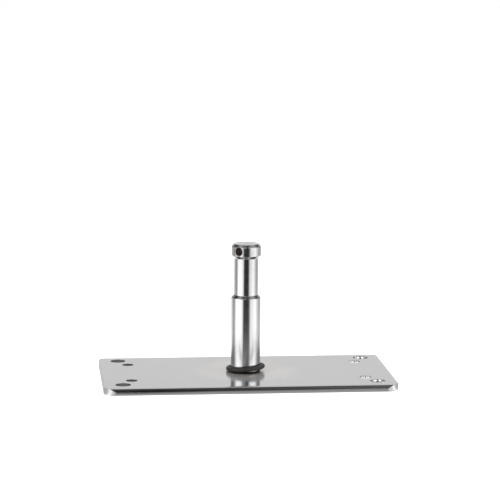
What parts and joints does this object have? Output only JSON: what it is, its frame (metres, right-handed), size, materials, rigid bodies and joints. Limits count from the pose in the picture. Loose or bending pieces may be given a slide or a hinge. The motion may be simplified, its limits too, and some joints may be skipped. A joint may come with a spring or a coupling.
{
  "type": "baby pin wall plate",
  "caption": "Flat plated steel plate with drilled corners that screws to a wall and carries an upright 16 mm chromed spigot with a loose rubber buffer ring at its foot.",
  "frame": {"origin": "middle of the plate's back face, the face that lies against the wall", "axes": "+X along the plate's long side, +Y along its short side, +Z out of the wall along the pin"},
  "size_m": [0.1564, 0.08, 0.0738],
  "materials": {
    "plate": "bright plated steel, polished, with a slight haze",
    "pin": "turned steel, bright chrome plated",
    "ring": "black moulded rubber, matt",
    "screw": "zinc plated steel, satin"
  },
  "bodies": {
    "plate_and_pin": {"wall_plate": "plate", "baby_pin": "pin", "pin_screw": "screw"},
    "ring": {"buffer_ring": "ring"}
  },
  "joints": [
    {"name": "ring_slide", "type": "slide", "parent": "plate_and_pin", "child": "ring", "axis": [0, 0, 1], "range_m": [0, 0.064]}
  ]
}
